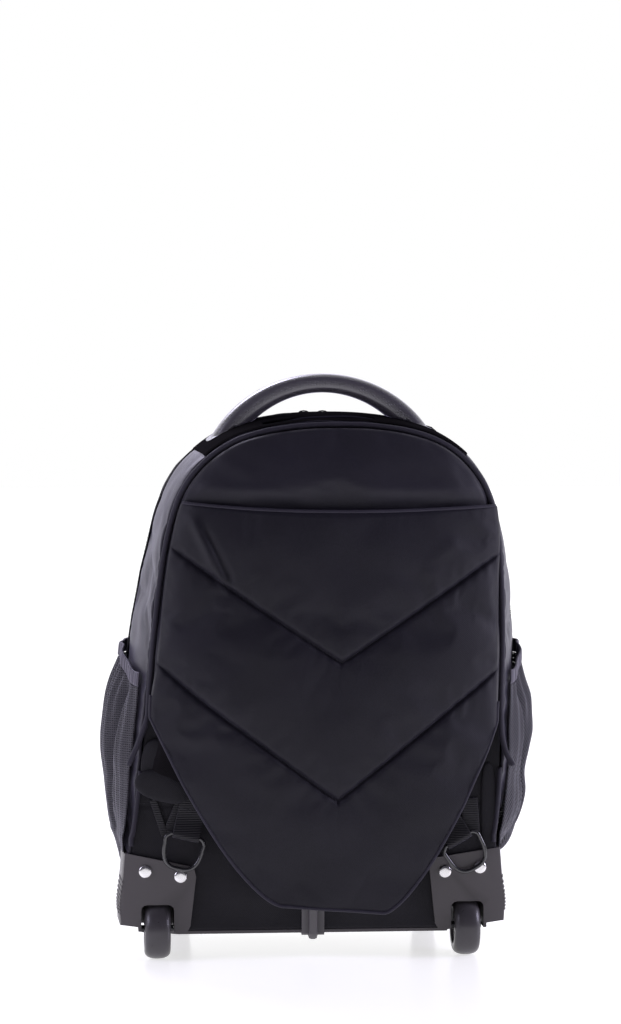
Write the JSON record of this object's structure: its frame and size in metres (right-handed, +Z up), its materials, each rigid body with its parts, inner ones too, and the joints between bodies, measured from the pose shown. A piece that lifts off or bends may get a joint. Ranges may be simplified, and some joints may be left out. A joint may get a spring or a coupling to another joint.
{
  "type": "wheeled backpack",
  "caption": "Wheeled backpack with a chevron-quilted cover over its stowed straps, net side pockets, padded carrying handle and pull-up handle.",
  "frame": {"origin": "middle of the bag's footprint, on the floor it stands on", "axes": "+Z up, -Y out of the bag's back with the quilted cover, +X to the right as seen from behind the bag, looking along +Y"},
  "size_m": [0.3736, 0.2258, 0.4901],
  "materials": {
    "nylon": "coated nylon cloth, satin, very dark violet grey",
    "lining": "zip tape, matt black",
    "net": "fine ribbed net, dark grey",
    "web": "woven webbing, black",
    "grip": "soft perforated grip, satin",
    "plastic": "moulded plastic, dark warm grey",
    "rubber": "dark grey rubber",
    "ringMetal": "black coated wire, glossy",
    "rivetMetal": "bright nickel",
    "steel": "plain steel",
    "tube": "satin anodised"
  },
  "bodies": {
    "bag": {"back_wall": "nylon", "rear_gusset": "nylon", "front_gusset": "nylon", "front_panel": "nylon", "front_pouch": "nylon", "cover_panel": "nylon", "cover_flap": "nylon", "cover_piping": "nylon", "seam_piping_left": "nylon", "seam_piping_right": "nylon", "shoulder_strap_left": "nylon", "shoulder_strap_right": "nylon", "main_zip": "lining", "pouch_zip": "lining", "net_pocket_left": "net", "net_pocket_right": "net", "net_binding_left": "web", "net_binding_right": "web", "handle_tab_left": "web", "handle_tab_right": "web", "strap_web_left": "web", "strap_web_right": "web", "web_tail_left": "web", "web_tail_right": "web", "ring_web_left": "web", "ring_web_right": "web", "carry_handle": "grip", "pouch_zip_pull": "plastic", "base_board": "plastic", "kick_rail": "plastic", "trolley_cup": "plastic", "zip_pull_left": "plastic", "zip_pull_right": "plastic", "wheel_housing_left": "plastic", "wheel_housing_right": "plastic", "front_foot_left": "rubber", "front_foot_right": "rubber", "strap_ring_left": "ringMetal", "strap_ring_right": "ringMetal", "rivet_outer_left": "rivetMetal", "rivet_outer_right": "rivetMetal", "rivet_inner_left": "rivetMetal", "rivet_inner_right": "rivetMetal", "axle_left": "steel", "axle_right": "steel", "trolley_tube_left": "tube", "trolley_tube_right": "tube"},
    "wheel_left": {"tyre_left": "rubber", "hub_left": "plastic"},
    "wheel_right": {"tyre_right": "rubber", "hub_right": "plastic"},
    "pull_mid": {"trolley_mid_left": "tube", "trolley_mid_right": "tube"},
    "pull_grip": {"trolley_inner_left": "tube", "trolley_inner_right": "tube", "trolley_grip": "plastic"}
  },
  "joints": [
    {"name": "wheel_left_spin", "type": "hinge", "parent": "bag", "child": "wheel_left", "pos_m": [-0.13976, -0.06085, 0.025], "axis": [1, 0, 0], "continuous": true},
    {"name": "wheel_right_spin", "type": "hinge", "parent": "bag", "child": "wheel_right", "pos_m": [0.12024, -0.06085, 0.025], "axis": [1, 0, 0], "continuous": true},
    {"name": "pull_mid_slide", "type": "slide", "parent": "bag", "child": "pull_mid", "axis": [0, 0, 1], "range_m": [0, 0.27]},
    {"name": "pull_grip_slide", "type": "slide", "parent": "pull_mid", "child": "pull_grip", "axis": [0, 0, 1], "range_m": [0, 0.27]}
  ]
}
